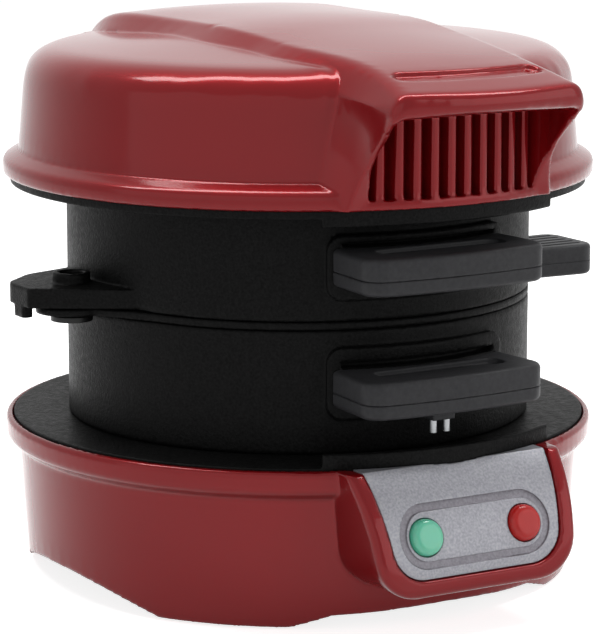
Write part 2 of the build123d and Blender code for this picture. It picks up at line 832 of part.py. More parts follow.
with BuildPart() as lower_reflector_screws:
    reflector_screws(ledge_z, 1)
lower_reflector_screws.part.label = "lower_reflector_screws"
export_step(lower_reflector_screws.part, "parts/lower_reflector_screws.step")

with BuildPart() as upper_reflector_screws:
    reflector_screws(upper_back_z, -1)
upper_reflector_screws.part.label = "upper_reflector_screws"
export_step(upper_reflector_screws.part, "parts/upper_reflector_screws.step")

with BuildPart() as thermostat:
    cap_z = ledge_z - thermostat_h
    upright_rod(0, 0, thermostat_r, cap_z, ledge_z - 0.05)
    upright_rod(0, 0, thermostat_cap_r, cap_z - thermostat_cap_h, cap_z)
    with BuildSketch(level(cap_z - thermostat_cap_h - tab_l)) as tabs:
        with Locations((-tab_x, 0), (tab_x, 0)):
            Rectangle(tab_t, tab_l)
    extrude(tabs.sketch, amount=tab_l + 0.5)
thermostat.part.label = "thermostat"
export_step(thermostat.part, "parts/thermostat.step")

with BuildPart() as thermal_fuse:
    rod_across(fuse_y, ledge_z - fuse_r - 0.1, fuse_r, -fuse_l / 2, fuse_l / 2)
thermal_fuse.part.label = "thermal_fuse"
export_step(thermal_fuse.part, "parts/thermal_fuse.step")

with BuildPart() as upper_thermal_cutout:
    cap_z = upper_back_z + thermostat_h
    upright_rod(0, 0, thermostat_r, upper_back_z + 0.05, cap_z)
    upright_rod(0, 0, thermostat_cap_r, cap_z, cap_z + thermostat_cap_h)
upper_thermal_cutout.part.label = "upper_thermal_cutout"
export_step(upper_thermal_cutout.part, "parts/upper_thermal_cutout.step")

with BuildPart() as terminal_block:
    with BuildSketch(level(cover_z + cover_t)) as block_face:
        with Locations((0, block_y)):
            Rectangle(block_l, block_w)
            with GridLocations(block_pitch, 1, 3, 1):
                Rectangle(block_well, block_well, mode=Mode.SUBTRACT)
    extrude(block_face.sketch, amount=block_h)
    with BuildSketch(level(cover_z + cover_t)) as block_floor:
        with Locations((0, block_y)):
            Rectangle(block_l, block_w)
    extrude(block_floor.sketch, amount=2)
terminal_block.part.label = "terminal_block"
export_step(terminal_block.part, "parts/terminal_block.step")

with BuildPart() as cord_gland:
    rod_back(0, gland_z, gland_r + gland_flange, pedestal_back_y + gland_proud, gland_proud)
    rod_back(0, gland_z, gland_r, pedestal_back_y, base_wall)
    rod_back(0, gland_z, gland_r + gland_lock, pedestal_back_y - base_wall, gland_proud)
    fillet(cord_gland.edges().group_by(Axis.Y)[-1], 1.2)
    bore_l = base_wall + 2 * gland_proud + 2
    bore_back_y = pedestal_back_y + gland_proud + 1
    rod_back(0, gland_z, gland_bore_r, bore_back_y, bore_l, Mode.SUBTRACT)
cord_gland.part.label = "cord_gland"
export_step(cord_gland.part, "parts/cord_gland.step")

# ---------------------------------------------------------------- hinge at the back
top_eye_x = bottom_eye_half + eye_gap
lid_eye_x = top_eye_x + top_eye_w + eye_gap
post_x = lid_eye_x + lid_eye_w + eye_gap
post_out_x = post_x + post_w
bracket_front_y = rebate_r + bracket_inset

with BuildPart() as hinge_bracket:
    block(
        post_out_x,
        bracket_front_y,
        pedestal_back_y - 0.8,
        bracket_z,
        bracket_z + bracket_t,
        pedestal_corner_r - 2,
    )
    for sign in (-1, 1):
        x_low, x_high = sorted((sign * post_x, sign * post_out_x))
        post_profile = [
            (hinge_y - post_r + 1, bracket_z + 1),
            (hinge_y + post_r - 1, bracket_z + 1),
            (hinge_y + post_r, hinge_z),
            (hinge_y - post_r, hinge_z),
        ]
        eye(x_low, x_high, post_profile, post_r)
        # Gusset at the foot of each post, on its inner side
        x_low, x_high = sorted((sign * (post_x - gusset_w), sign * (post_x + 1)))
        gusset_profile = [
            (hinge_y - gusset_t / 2, bracket_z + 1),
            (hinge_y + gusset_t / 2, bracket_z + 1),
            (hinge_y + gusset_t / 2, bracket_z + bracket_t + gusset_h),
            (hinge_y - gusset_t / 2, bracket_z + bracket_t + gusset_h),
        ]
        across(gusset_profile, x_low, x_high)
    pin_bore(far)
    for x in (-bracket_screw_x, bracket_screw_x):
        hole_r = screw_r + screw_play
        upright_rod(x, bracket_screw_y, hole_r, bracket_z - 1, bracket_z + 9, Mode.SUBTRACT)
hinge_bracket.part.label = "hinge_bracket"
export_step(hinge_bracket.part, "parts/hinge_bracket.step")

with BuildPart() as hinge_bracket_screws:
    head_z = bracket_z + bracket_t
    for x in (-bracket_screw_x, bracket_screw_x):
        upright_rod(x, bracket_screw_y, screw_r - 0.1, bracket_z - bracket_screw_l, head_z)
        upright_rod(x, bracket_screw_y, screw_head_r, head_z, head_z + screw_head_h)
hinge_bracket_screws.part.label = "hinge_bracket_screws"
export_step(hinge_bracket_screws.part, "parts/hinge_bracket_screws.step")

clip_x = post_out_x + screw_play
pin_half = post_out_x + pin_over
with BuildPart() as hinge_pin:
    rod_across(hinge_y, hinge_z, pin_r, -pin_half, pin_half)
    for x in (-clip_x - clip_t - 0.1, clip_x - 0.1):
        with BuildSketch(side(x)) as groove_face:
            with Locations((hinge_y, hinge_z)):
                Circle(pin_r + 1)
                Circle(clip_groove_r, mode=Mode.SUBTRACT)
        extrude(groove_face.sketch, amount=clip_t + 0.2, mode=Mode.SUBTRACT)
    chamfer(hinge_pin.faces().sort_by(Axis.X)[0].edges(), 0.4)
    chamfer(hinge_pin.faces().sort_by(Axis.X)[-1].edges(), 0.4)
hinge_pin.part.label = "hinge_pin"
export_step(hinge_pin.part, "parts/hinge_pin.step")

with BuildPart() as hinge_pin_clips:
    for x in (-clip_x - clip_t, clip_x):
        with BuildSketch(side(x)) as clip_face:
            with Locations((hinge_y, hinge_z)):
                Circle(clip_r)
                Circle(clip_groove_r + 0.05, mode=Mode.SUBTRACT)
            with Locations((hinge_y, hinge_z - 4)):
                Rectangle(2 * clip_groove_r - 0.4, 8, mode=Mode.SUBTRACT)
        extrude(clip_face.sketch, amount=clip_t)
hinge_pin_clips.part.label = "hinge_pin_clips"
export_step(hinge_pin_clips.part, "parts/hinge_pin_clips.step")


# ---------------------------------------------------------------- cooking rings
def ring_body(z_low, height, pad_z, pad_h):
    "Cast ring with the frame for its handle in front."
    z_high = z_low + height
    profile = [(ring_in_r, z_low), (ring_r, z_low), (ring_r, z_high), (ring_in_r, z_high)]
    turned(profile, ring_edge_r)
    sector(ring_r - 1, ring_r + pad_t, pad_z, pad_z + pad_h, pad_half_angle)


def pad_corners(ring):
    "The four short edges at the corners of the handle's frame."
    edges = ring.edges().filter_by(GeomType.LINE)
    return edges.filter_by(lambda e: abs(e.length - pad_t) < 0.01 and e.center().Y < -40)


def handle_seat(handle_z, pad_top_z, border):
    "Slot above the handle's root, the cast tongue in front and its screw holes."
    low_z = handle_z + handle_t + fit_gap
    high_z = pad_top_z - border
    r_in = ring_r - pocket_depth
    sector(r_in, ring_r + pad_t + 1, low_z, high_z, pocket_half_angle, mode=Mode.SUBTRACT)
    tongue_z = handle_z + handle_low_t - tongue_t / 2
    tongue_plan = [
        (-tongue_half_w, -ring_r + 2),
        (-tongue_half_w, -tongue_reach),
        (tongue_half_w, -tongue_reach),
        (tongue_half_w, -ring_r + 2),
    ]
    corners = [0, tongue_corner_r, tongue_corner_r, 0]
    slab(tongue_plan, tongue_z, tongue_z + tongue_t, corners)
    for x in (-handle_screw_x, handle_screw_x):
        hole_r = screw_r + screw_play
        upright_rod(x, handle_screw_y, hole_r, tongue_z - 1, tongue_z + tongue_t + 1, Mode.SUBTRACT)


with BuildPart() as bottom_ring:
    ring_body(bottom_ring_z, bottom_ring_h, bottom_pad_z, bottom_pad_h)
    fillet(pad_corners(bottom_ring), pad_corner_r)
    handle_seat(bottom_handle_z, bottom_pad_z + bottom_pad_h, bottom_pad_border)
    arm_profile = [
        (ring_r - arm_root_inset, arm_low_z),
        (hinge_y, hinge_z - eye_r),
        (hinge_y, bottom_ring_z + bottom_ring_h),
        (ring_r - arm_root_inset, bottom_ring_z + bottom_ring_h),
    ]
    eye(-bottom_eye_half, bottom_eye_half, arm_profile)
    pin_bore(far)
bottom_ring.part.label = "bottom_ring"
export_step(bottom_ring.part, "parts/bottom_ring.step")

lug_z = top_ring_z + lug_gap
lug_top_z = lug_z + lug_t
with BuildPart() as top_ring:
    ring_body(top_ring_z, top_ring_h, top_pad_z, top_pad_h)
    fillet(pad_corners(top_ring), pad_corner_r)
    handle_seat(top_handle_z, top_pad_z + top_pad_h, top_pad_border)
    for sign in (-1, 1):
        x_low, x_high = sorted((sign * top_eye_x, sign * (top_eye_x + top_eye_w)))
        arm_profile = [
            (ring_r - arm_root_inset - 1, top_ring_z + 1),
            (hinge_y, hinge_z - eye_r + 1),
            (hinge_y + 3, hinge_z + eye_r - 1),
            (ring_r - arm_root_inset - 1, top_ring_z + top_arm_h),
        ]
        eye(x_low, x_high, arm_profile)
    pin_bore(far)
    # Lug with the pivot boss on the left, and its hook
    lug_root_x = -ring_r + ring_wall + 1
    lug_plan = [
        (lug_root_x, -19.6),
        (-lug_reach, -3.2),
        (-lug_reach, 8.5),
        (-ring_r - 10, 17),
        (lug_root_x, 21.5),
        (lug_root_x - 3, 8),
        (lug_root_x - 3, -8),
    ]
    slab(lug_plan, lug_z, lug_top_z, [0, 1.0, 6, 9, 0, 0, 0])
    upright_rod(pivot_x, 0, boss_r, lug_top_z - 1, lug_top_z + boss_h)
    hook_plan = [
        (-lug_reach, 0),
        (-lug_reach + lug_hook_t, 0),
        (-lug_reach + lug_hook_t, lug_hook_w),
        (-lug_reach, lug_hook_w),
    ]
    slab(hook_plan, lug_top_z - lug_hook_drop, lug_top_z - 1)
    pivot_hole_r = pivot_pin_r + pin_play
    upright_rod(pivot_x, 0, pivot_hole_r, lug_z - 1, lug_top_z + boss_h + 1, Mode.SUBTRACT)
top_ring.part.label = "top_ring"
export_step(top_ring.part, "parts/top_ring.step")


# ---------------------------------------------------------------- ring handles
def handle_half(z_low, z_high, handle_z):
    "One half of a ring handle, hollowed for the tongue: round corners and a bowed front."
    corner_y = handle_front_y + handle_bow
    with BuildSketch(level(z_low)) as plan:
        with BuildLine():
            Polyline(
                (-handle_half_w, corner_y),
                (-handle_root_half, -ring_in_r),
                (handle_root_half, -ring_in_r),
                (handle_half_w, corner_y),
            )
            ThreePointArc((handle_half_w, corner_y), (0, handle_front_y), (-handle_half_w, corner_y))
        make_face()
        fillet(plan.vertices().group_by(Axis.Y)[0], handle_corner_r)
    extrude(plan.sketch, amount=z_high - z_low)
    band(0, ring_r + pad_t + fit_gap, z_low - 1, z_high + 1, mode=Mode.SUBTRACT)
    z = handle_z + handle_low_t
    well_half_w = tongue_half_w + fit_gap
    well_h = tongue_t / 2 + fit_gap
    well_plan = [
        (-well_half_w, -ring_in_r),
        (-well_half_w, -tongue_reach - fit_gap),
        (well_half_w, -tongue_reach - fit_gap),
        (well_half_w, -ring_in_r),
    ]
    slab(well_plan, z - well_h, z + well_h, mode=Mode.SUBTRACT)


def outer_edges(face):
    "The edges of a handle's top or bottom face, apart from the one along its root."
    return face.edges().filter_by(lambda e: e.center().Y < -ring_r - pad_t - 1)


for ring_name, handle_z in (("bottom_ring", bottom_handle_z), ("top_ring", top_handle_z)):
    parting_z = handle_z + handle_low_t
    with BuildPart() as lower_half:
        handle_half(handle_z, parting_z, handle_z)
        fillet(outer_edges(lower_half.faces().sort_by(Axis.Z)[0]), handle_edge_r)
        for x in (-handle_screw_x, handle_screw_x):
            hole_r = screw_r + screw_play
            head_z = handle_z + screw_head_h
            upright_rod(x, handle_screw_y, hole_r, handle_z - 1, parting_z + 1, Mode.SUBTRACT)
            hole_r = screw_head_r + screw_play
            upright_rod(x, handle_screw_y, hole_r, handle_z - 1, head_z, Mode.SUBTRACT)
        if ring_name == "bottom_ring":
            tab_plan = [
                (-stop_tab_half_w, stop_y + stop_tab_half_l),
                (-stop_tab_half_w, stop_y - stop_tab_half_l),
                (stop_tab_half_w, stop_y - stop_tab_half_l),
                (stop_tab_half_w, stop_y + stop_tab_half_l),
            ]
            slab(tab_plan, handle_z - stop_tab_drop, handle_z + 0.5)
            for x in (-stop_x, stop_x):
                upright_rod(x, stop_y, stop_r + 0.05, handle_z - 5, handle_z + 0.5, Mode.SUBTRACT)
    lower_half.part.label = ring_name + "_handle_lower"
    export_step(lower_half.part, f"parts/{ring_name}_handle_lower.step")

    with BuildPart() as upper_half:
        handle_half(parting_z, handle_z + handle_t, handle_z)
        fillet(outer_edges(upper_half.faces().sort_by(Axis.Z)[-1]), handle_edge_r)
        # Shallow finger dish behind the raised front edge
        with BuildSketch(level(handle_z + handle_t - dish_depth)) as dish:
            with Locations((0, dish_y)):
                Rectangle(dish_l, dish_w)
            fillet(dish.vertices(), dish_corner_r)
        extrude(dish.sketch, amount=dish_depth + 1, mode=Mode.SUBTRACT)
        for x in (-handle_screw_x, handle_screw_x):
            upright_rod(x, handle_screw_y, screw_r, parting_z - 1, parting_z + 4, Mode.SUBTRACT)
    upper_half.part.label = ring_name + "_handle_upper"
    export_step(upper_half.part, f"parts/{ring_name}_handle_upper.step")

    with BuildPart() as handle_screws:
        for x in (-handle_screw_x, handle_screw_x):
            upright_rod(x, handle_screw_y, screw_r - 0.1, handle_z + 0.3, parting_z + 3.8)
            upright_rod(x, handle_screw_y, screw_head_r, handle_z + 0.1, handle_z + screw_head_h)
    handle_screws.part.label = ring_name + "_handle_screws"
    export_step(handle_screws.part, f"parts/{ring_name}_handle_screws.step")

with BuildPart() as bottom_handle_stop_pins:
    for x in (-stop_x, stop_x):
        upright_rod(x, stop_y, stop_r, bottom_handle_z - stop_drop, bottom_handle_z + 0.3)
bottom_handle_stop_pins.part.label = "bottom_handle_stop_pins"
export_step(bottom_handle_stop_pins.part, "parts/bottom_handle_stop_pins.step")

# ---------------------------------------------------------------- cooking plate
cook_top_z = cook_plate_z + cook_plate_t
plate_parting_z = cook_plate_z + cook_plate_t / 2 + 0.3
plate_screw_x = ring_r + plate_screw_out

with BuildPart() as cooking_plate:
    with BuildSketch(level(cook_plate_z)) as plate_face:
        Circle(ring_r)
        with Locations((pivot_x, 0)):
            Circle(ear_r)
        with BuildLine():
            Polyline(
                (pivot_x + 1.8, -ear_r + 0.2),
                (-ring_r + 4.7, -23.2),
                (-ring_r + 10, 0),
                (-ring_r + 4.7, 23.2),
                (pivot_x + 1.8, ear_r - 0.2),
                close=True,
            )
        make_face()
        with Locations((ring_r + plate_tongue_l / 2 - 2.5, 0)):
            Rectangle(plate_tongue_l + 5, 2 * plate_tongue_half_w)
    extrude(plate_face.sketch, amount=cook_plate_t)
    hole_r = pivot_pin_r + pin_play
    upright_rod(pivot_x, 0, hole_r, cook_plate_z - 1, cook_top_z + 1, Mode.SUBTRACT)
    band(0, platform_r, cook_top_z - cook_dish_depth, cook_top_z + 1, mode=Mode.SUBTRACT)
    hole_r = screw_r + screw_play
    upright_rod(plate_screw_x, 0, hole_r, cook_plate_z - 1, cook_top_z + 1, Mode.SUBTRACT)
cooking_plate.part.label = "cooking_plate"
export_step(cooking_plate.part, "parts/cooking_plate.step")


def plate_handle_half(z_low, z_high):
    "One half of the cooking plate's handle, hollowed for the plate's tongue."
    root_half_w = plate_handle_half_w - plate_handle_flare
    grip_plan = [
        (plate_handle_root, -root_half_w),
        (plate_handle_reach, -plate_handle_half_w),
        (plate_handle_reach, plate_handle_half_w),
        (plate_handle_root, root_half_w),
    ]
    grip_radii = [1.5, plate_handle_corner_r, plate_handle_corner_r, 1.5]
    slab(grip_plan, z_low, z_high, grip_radii)
    well_half_w = plate_tongue_half_w + fit_gap
    well_end_x = ring_r + plate_tongue_l + fit_gap
    well_plan = [
        (plate_handle_root - 1, -well_half_w),
        (well_end_x, -well_half_w),
        (well_end_x, well_half_w),
        (plate_handle_root - 1, well_half_w),
    ]
    slab(well_plan, cook_plate_z - fit_gap, cook_top_z + fit_gap, mode=Mode.SUBTRACT)


with BuildPart() as plate_handle_lower:
    plate_handle_half(plate_handle_low_z, plate_parting_z)
    fillet(plate_handle_lower.faces().sort_by(Axis.Z)[0].edges(), plate_handle_edge_r)
    low_z = plate_handle_low_z - 1
    upright_rod(plate_screw_x, 0, screw_r + screw_play, low_z, cook_top_z, Mode.SUBTRACT)
    upright_rod(plate_screw_x, 0, screw_head_r + screw_play, low_z, low_z + 2, Mode.SUBTRACT)
plate_handle_lower.part.label = "plate_handle_lower"
export_step(plate_handle_lower.part, "parts/plate_handle_lower.step")

with BuildPart() as plate_handle_upper:
    plate_handle_top_z = plate_handle_low_z + plate_handle_h
    plate_handle_half(plate_parting_z, plate_handle_top_z)
    fillet(plate_handle_upper.faces().sort_by(Axis.Z)[-1].edges(), plate_handle_edge_r)
    with BuildSketch(level(plate_handle_top_z - ridge_depth)) as ridges:
        with Locations((plate_handle_reach - 12.5, 0)):
            with GridLocations(1, ridge_pitch, 1, ridge_count):
                SlotOverall(ridge_l, ridge_w)
    extrude(ridges.sketch, amount=ridge_depth + 1, mode=Mode.SUBTRACT)
    upright_rod(plate_screw_x, 0, screw_r, cook_plate_z - 1, cook_top_z + 2.4, Mode.SUBTRACT)
plate_handle_upper.part.label = "plate_handle_upper"
export_step(plate_handle_upper.part, "parts/plate_handle_upper.step")

with BuildPart() as plate_handle_screw:
    low_z = plate_handle_low_z + 0.1
    upright_rod(plate_screw_x, 0, screw_r - 0.1, low_z, cook_top_z + 2.2)
    upright_rod(plate_screw_x, 0, screw_head_r, low_z, low_z + 0.9)
plate_handle_screw.part.label = "plate_handle_screw"
export_step(plate_handle_screw.part, "parts/plate_handle_screw.step")

washer_top_z = cook_plate_z - 0.05
pin_head_z = washer_top_z - washer_t - 0.1
with BuildPart() as plate_pivot_pin:
    upright_rod(pivot_x, 0, pivot_pin_r, pin_head_z - 0.5, lug_top_z + boss_h - 1.5)
    upright_rod(pivot_x, 0, pivot_head_r, pin_head_z - 1.45, pin_head_z)
    chamfer(plate_pivot_pin.faces().sort_by(Axis.Z)[-1].edges(), 0.5)
plate_pivot_pin.part.label = "plate_pivot_pin"
export_step(plate_pivot_pin.part, "parts/plate_pivot_pin.step")

with BuildPart() as plate_pivot_washer:
    upright_rod(pivot_x, 0, washer_r, washer_top_z - washer_t, washer_top_z)
    hole_r = pivot_pin_r + 0.1
    upright_rod(pivot_x, 0, hole_r, washer_top_z - 1, washer_top_z + 1, Mode.SUBTRACT)
plate_pivot_washer.part.label = "plate_pivot_washer"
export_step(plate_pivot_washer.part, "parts/plate_pivot_washer.step")

# ---------------------------------------------------------------- lid
lid_bead_top_z = lid_low_z + lid_bead_h
grille_back_r = lid_low_r - grille_back_inset


def lid_dome(inset):
    "The round part of the lid: wall, shoulder and low crown, drawn in by the wall where hollow."
    with BuildSketch(radial(seam_azimuth)) as dome:
        with BuildLine():
            FilletPolyline(
                (0, lid_low_z - inset),
                (lid_low_r + 0.35 - inset, lid_low_z - inset),
                (lid_high_r - inset, lid_crown_edge_z - inset),
                (28, lid_crown_z - 0.8 - inset),
                (0, lid_crown_z - inset),
                radius=[0, lid_shoulder_r - inset / 2, 60],
            )
            Line((0, lid_crown_z - inset), (0, lid_low_z - inset))
        make_face()
    return dome.sketch


# The spine's cross-section at a row of depths: half-widths at the top, at the foot of its flank
# and at the lid's rim, and the heights of the middle, of the top's edges and of the flank's foot
spine_rows = (
    (74.0, 26.0, 28.5, 30.0, 129.0, 128.4, 124.5),
    (62.0, 27.5, 29.5, 34.0, 138.0, 136.8, 132.0),
    (50.0, 29.0, 32.5, 38.0, 142.0, 140.9, 136.4),
    (25.0, 29.0, 33.5, 40.0, 143.9, 142.5, 138.3),
    (-5.0, 28.2, 33.5, 40.0, 143.9, 142.6, 139.0),
    (-30.0, 26.6, 32.6, 38.5, 142.2, 141.1, 137.4),
    (-50.0, 24.4, 30.4, 36.5, 140.4, 139.5, 134.6),
    (-66.0, 23.0, 27.4, 33.2, 138.6, 137.9, 130.9),
    (-77.0, 23.2, 27.2, 26.0, 136.6, 135.9, 129.6),
    (-86.0, 24.8, 27.4, 26.5, 134.2, 133.7, 128.8),
    (-97.0, 26.4, 27.6, 27.0, 131.2, 130.8, 127.8),
)


def spine_loft(inset, rows, low_z, mode=Mode.ADD):
    "The raised spine from back to front as one smooth loft, drawn in where it is hollow."
    sections = []
    for y, top_half, foot_half, low_half, mid_z, edge_z, foot_z in rows:
        part_way = (foot_z - inset - low_z) / (foot_z - lid_low_z)
        low_x = foot_half - inset + (low_half - foot_half) * part_way
        with BuildSketch(front(y)) as section:
            with BuildLine():
                ThreePointArc(
                    (-top_half + inset, edge_z - inset),
                    (0, mid_z - inset),
                    (top_half - inset, edge_z - inset),
                )
                Polyline(
                    (top_half - inset, edge_z - inset),
                    (foot_half - inset, foot_z - inset),
                    (low_x, low_z),
                    (-low_x, low_z),
                    (-foot_half + inset, foot_z - inset),
                    (-top_half + inset, edge_z - inset),
                )
            make_face()
            corners = section.vertices().filter_by(
                lambda v: abs(v.Y - edge_z + inset) < 0.01
            )
            fillet(corners, min(spine_edge_r, 0.8 * (edge_z - foot_z)))
        sections.append(section.sketch)
    loft(sections, mode=mode)


with BuildPart() as spine_back_trim:
    # Behind, the spine ends in line with the lid's wall
    block(50, 40, far, lid_low_z - 1, lid_crown_z + 10)
    wall_cone = [
        (0, lid_low_z - 2),
        (lid_low_r, lid_low_z - 2),
        (lid_high_r - 0.3, lid_crown_edge_z),
        (lid_high_r - 1.2, lid_crown_z + 11),
        (0, lid_crown_z + 11),
    ]
    turned(wall_cone, mode=Mode.SUBTRACT)

with BuildPart() as nose_plug:
    # In front, the brim's plan is bowed with round corners, and its upper edge is rounded
    rise = cos(radians(nose_slope))
    corner_y = (nose_y + nose_bow - 1.2) / rise
    plug_plane = Plane(
        (stack_x, 0, nose_top_z - nose_top_y * tan(radians(nose_slope))),
        x_dir=(1, 0, 0),
        z_dir=(0, -sin(radians(nose_slope)), rise),
    )
    plug_points = [
        (-nose_half_w - 14.7, -60 / rise),
        (-nose_half_w - 6.7, -72 / rise),
        (-nose_half_w, corner_y),
        (0, (nose_y - 1.2) / rise),
        (nose_half_w, corner_y),
        (nose_half_w + 6.7, -72 / rise),
        (nose_half_w + 14.7, -60 / rise),
    ]
    plug_radii = [0, 0, nose_corner_r, 90, nose_corner_r, 0, 0]
    extrude(outline(plug_plane, plug_points, plug_radii), amount=60, dir=(0, 0, -1))
    fillet(nose_plug.faces().sort_by(Axis.Z)[-1].edges(), nose_edge_r)

with BuildPart() as nose_trim:
    block(50, -far, -70, lid_low_z - 1, lid_crown_z + 10)
    add(nose_plug.part, mode=Mode.SUBTRACT)

with BuildPart() as spine:
    spine_loft(0, spine_rows, lid_low_z)
    add(spine_back_trim.part, mode=Mode.SUBTRACT)
    add(nose_trim.part, mode=Mode.SUBTRACT)

with BuildPart() as grille_recess:
    # Under the brim, flared from the ribs outwards
    across(
        [
            (-far, grille_low_z),
            (-60, grille_low_z),
            (-60, brim_under_z - 3.2),
            (-70, brim_under_z - 2.2),
            (nose_y - 8, brim_under_z + 1.0),
            (-far, brim_under_z + 1.0),
        ],
        -grille_front_half,
        grille_front_half,
    )
    band(grille_back_r, far, lid_low_z, lid_crown_z, mode=Mode.INTERSECT)
    flare_plan = [
        (-grille_back_half, -50),
        (-grille_back_half, -70),
        (-grille_front_half, -76),
        (-grille_front_half, -far),
        (grille_front_half, -far),
        (grille_front_half, -76),
        (grille_back_half, -70),
        (grille_back_half, -50),
    ]
    slab(flare_plan, lid_low_z, lid_crown_z, mode=Mode.INTERSECT)

with BuildPart() as grille_ribs:
    with BuildSketch(level(grille_low_z - 1)) as rib_face:
        with Locations((0, -grille_back_r)):
            with GridLocations(grille_pitch, 1, grille_count, 1):
                Rectangle(rib_w, 14)
    extrude(rib_face.sketch, amount=brim_under_z - grille_low_z)
    band(grille_back_r - 0.5, rib_front_r, lid_low_z, lid_crown_z, mode=Mode.INTERSECT)

with BuildPart() as slot_cut:
    # The space above the spine's surface lowered by the slot's depth, within the slot's plan
    slot_half_angle = slot_l / 2 / slot_r
    with BuildSketch(level(brim_under_z + 3)) as slot_face:
        with BuildLine() as slot_line:
            ThreePointArc(
                (-slot_r * sin(slot_half_angle), -slot_r * cos(slot_half_angle)),
                (0, -slot_r),
                (slot_r * sin(slot_half_angle), -slot_r * cos(slot_half_angle)),
            )
        SlotArc(slot_line.wire(), slot_w)
    extrude(slot_face.sketch, amount=20)
    spine_loft(slot_depth, spine_rows, lid_low_z, Mode.SUBTRACT)

with BuildPart() as lid_shell:
    revolve(lid_dome(0), axis=STACK_AXIS)
    turned(
        [
            (40, lid_low_z),
            (lid_bead_r, lid_low_z),
            (lid_bead_r, lid_bead_top_z - 0.6),
            (lid_low_r - 0.3, lid_bead_top_z + lid_bead_slope_h),
            (40, lid_bead_top_z + lid_bead_slope_h),
        ],
        [0, 1.2, 2.0, 0.8, 0],
    )
    add(spine.part)
    # The sweep under the brim, back to the rim
    across(
        [
            (-far, brim_under_z + 0.6),
            (nose_y + 1.9, brim_under_z + 0.6),
            (-lid_low_r - 12.1, brim_under_z - 3.8),
            (-lid_low_r - 6.2, brim_under_z - 9.6),
            (-lid_low_r - 2.2, brim_under_z - 15.2),
            (-lid_low_r, brim_under_z - 20.4),
            (-lid_low_r + 1.2, lid_low_z - 2),
            (-far, lid_low_z - 2),
        ],
        -lid_low_r,
        lid_low_r,
        [0, 1.5, 12, 12, 12, 12, 0, 0],
        Mode.SUBTRACT,
    )
    # The rim's bead runs on across the front, below the grille
    sector(lid_bead_r - 8, lid_bead_r, lid_low_z, grille_low_z, 24)
    # Hollow inside: the dome, the spine and the rebate for the heating plate
    revolve(lid_dome(lid_wall), axis=STACK_AXIS, mode=Mode.SUBTRACT)
    spine_loft(lid_wall, spine_rows[2:8], lid_hollow_z, Mode.SUBTRACT)
    band(0, rebate_r, lid_low_z - 5, lid_seat_z, mode=Mode.SUBTRACT)
    # Grille with its upright ribs, and the slot on the slope above the brim
    add(grille_recess.part, mode=Mode.SUBTRACT)
    add(grille_ribs.part)
    add(slot_cut.part, mode=Mode.SUBTRACT)
    # Posts inside for the heating plate's screws
    for azimuth in quarter_azimuths:
        x, y = at_azimuth(plate_screw_r, azimuth)
        with BuildSketch(level(lid_seat_z)) as post_face:
            with Locations(Location((x, y), azimuth - 90)):
                with Locations((0.6, 0)):
                    SlotCenterToCenter(1.2, 2 * post_end_r)
        extrude(post_face.sketch, amount=post_l)
        hole_top_z = lid_seat_z + plate_screw_l + 2
        upright_rod(x, y, screw_r - screw_bite, lid_seat_z - 1, hole_top_z, Mode.SUBTRACT)
    # Bosses behind the wall for the hinge bracket's screws
    for x in (-lid_screw_x, lid_screw_x):
        rod_back(x, lid_screw_z, lid_boss_r, lid_high_r - 0.4, lid_boss_l)
        rod_back(
            x,
            lid_screw_z,
            screw_r - 0.1,
            hinge_y,
            lid_bracket_t + lid_screw_l + 0.5,
            Mode.SUBTRACT,
        )
lid_shell.part.label = "lid_shell"
export_step(lid_shell.part, "parts/lid_shell.step")

lid_bracket_y = hinge_y - lid_bracket_t
lid_bracket_top_z = lid_screw_z + lid_bracket_over
lid_bracket_low_z = lid_bead_top_z + lid_bead_slope_h + 1.4
with BuildPart() as lid_hinge_bracket:
    for sign in (-1, 1):
        x_low, x_high = sorted((sign * lid_eye_x, sign * (lid_eye_x + lid_eye_w)))
        arm_profile = [
            (lid_bracket_y - 2, hinge_z),
            (hinge_y + eye_r - 0.9, hinge_z),
            (hinge_y + 1.5, lid_bracket_top_z),
            (lid_bracket_y - 2, lid_bracket_top_z),
        ]
        eye(x_low, x_high, arm_profile)
    across(
        [
            (60, lid_bracket_low_z),
            (lid_bracket_y, lid_bracket_low_z),
            (lid_bracket_y, lid_bracket_top_z),
            (60, lid_bracket_top_z),
        ],
        -lid_eye_x - lid_eye_w,
        lid_eye_x + lid_eye_w,
    )
    turned(
        [
            (0, lid_low_z),
            (lid_low_r + 0.35 + lid_bracket_gap, lid_low_z),
            (lid_high_r + lid_bracket_gap, lid_crown_edge_z),
            (0, lid_crown_edge_z),
        ],
        mode=Mode.SUBTRACT,
    )
    pin_bore(far)
    for x in (-lid_screw_x, lid_screw_x):
        rod_back(x, lid_screw_z, screw_r + screw_play, hinge_y + 2, 20, Mode.SUBTRACT)
lid_hinge_bracket.part.label = "lid_hinge_bracket"
export_step(lid_hinge_bracket.part, "parts/lid_hinge_bracket.step")

with BuildPart() as lid_hinge_screws:
    for x in (-lid_screw_x, lid_screw_x):
        rod_back(x, lid_screw_z, screw_head_r, lid_bracket_y + screw_head_h, screw_head_h)
        rod_back(x, lid_screw_z, screw_r - 0.15, lid_bracket_y, lid_screw_l)
lid_hinge_screws.part.label = "lid_hinge_screws"
export_step(lid_hinge_screws.part, "parts/lid_hinge_screws.step")

with BuildPart() as upper_plate_screws:
    for azimuth in quarter_azimuths:
        x, y = at_azimuth(plate_screw_r, azimuth)
        upright_rod(x, y, screw_head_r, upper_plate_z + 0.1, upper_plate_z + 1.3)
        upright_rod(x, y, screw_r - 0.25, upper_plate_z + 1, lid_seat_z + plate_screw_l)
upper_plate_screws.part.label = "upper_plate_screws"
export_step(upper_plate_screws.part, "parts/upper_plate_screws.step")
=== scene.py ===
import json
import math

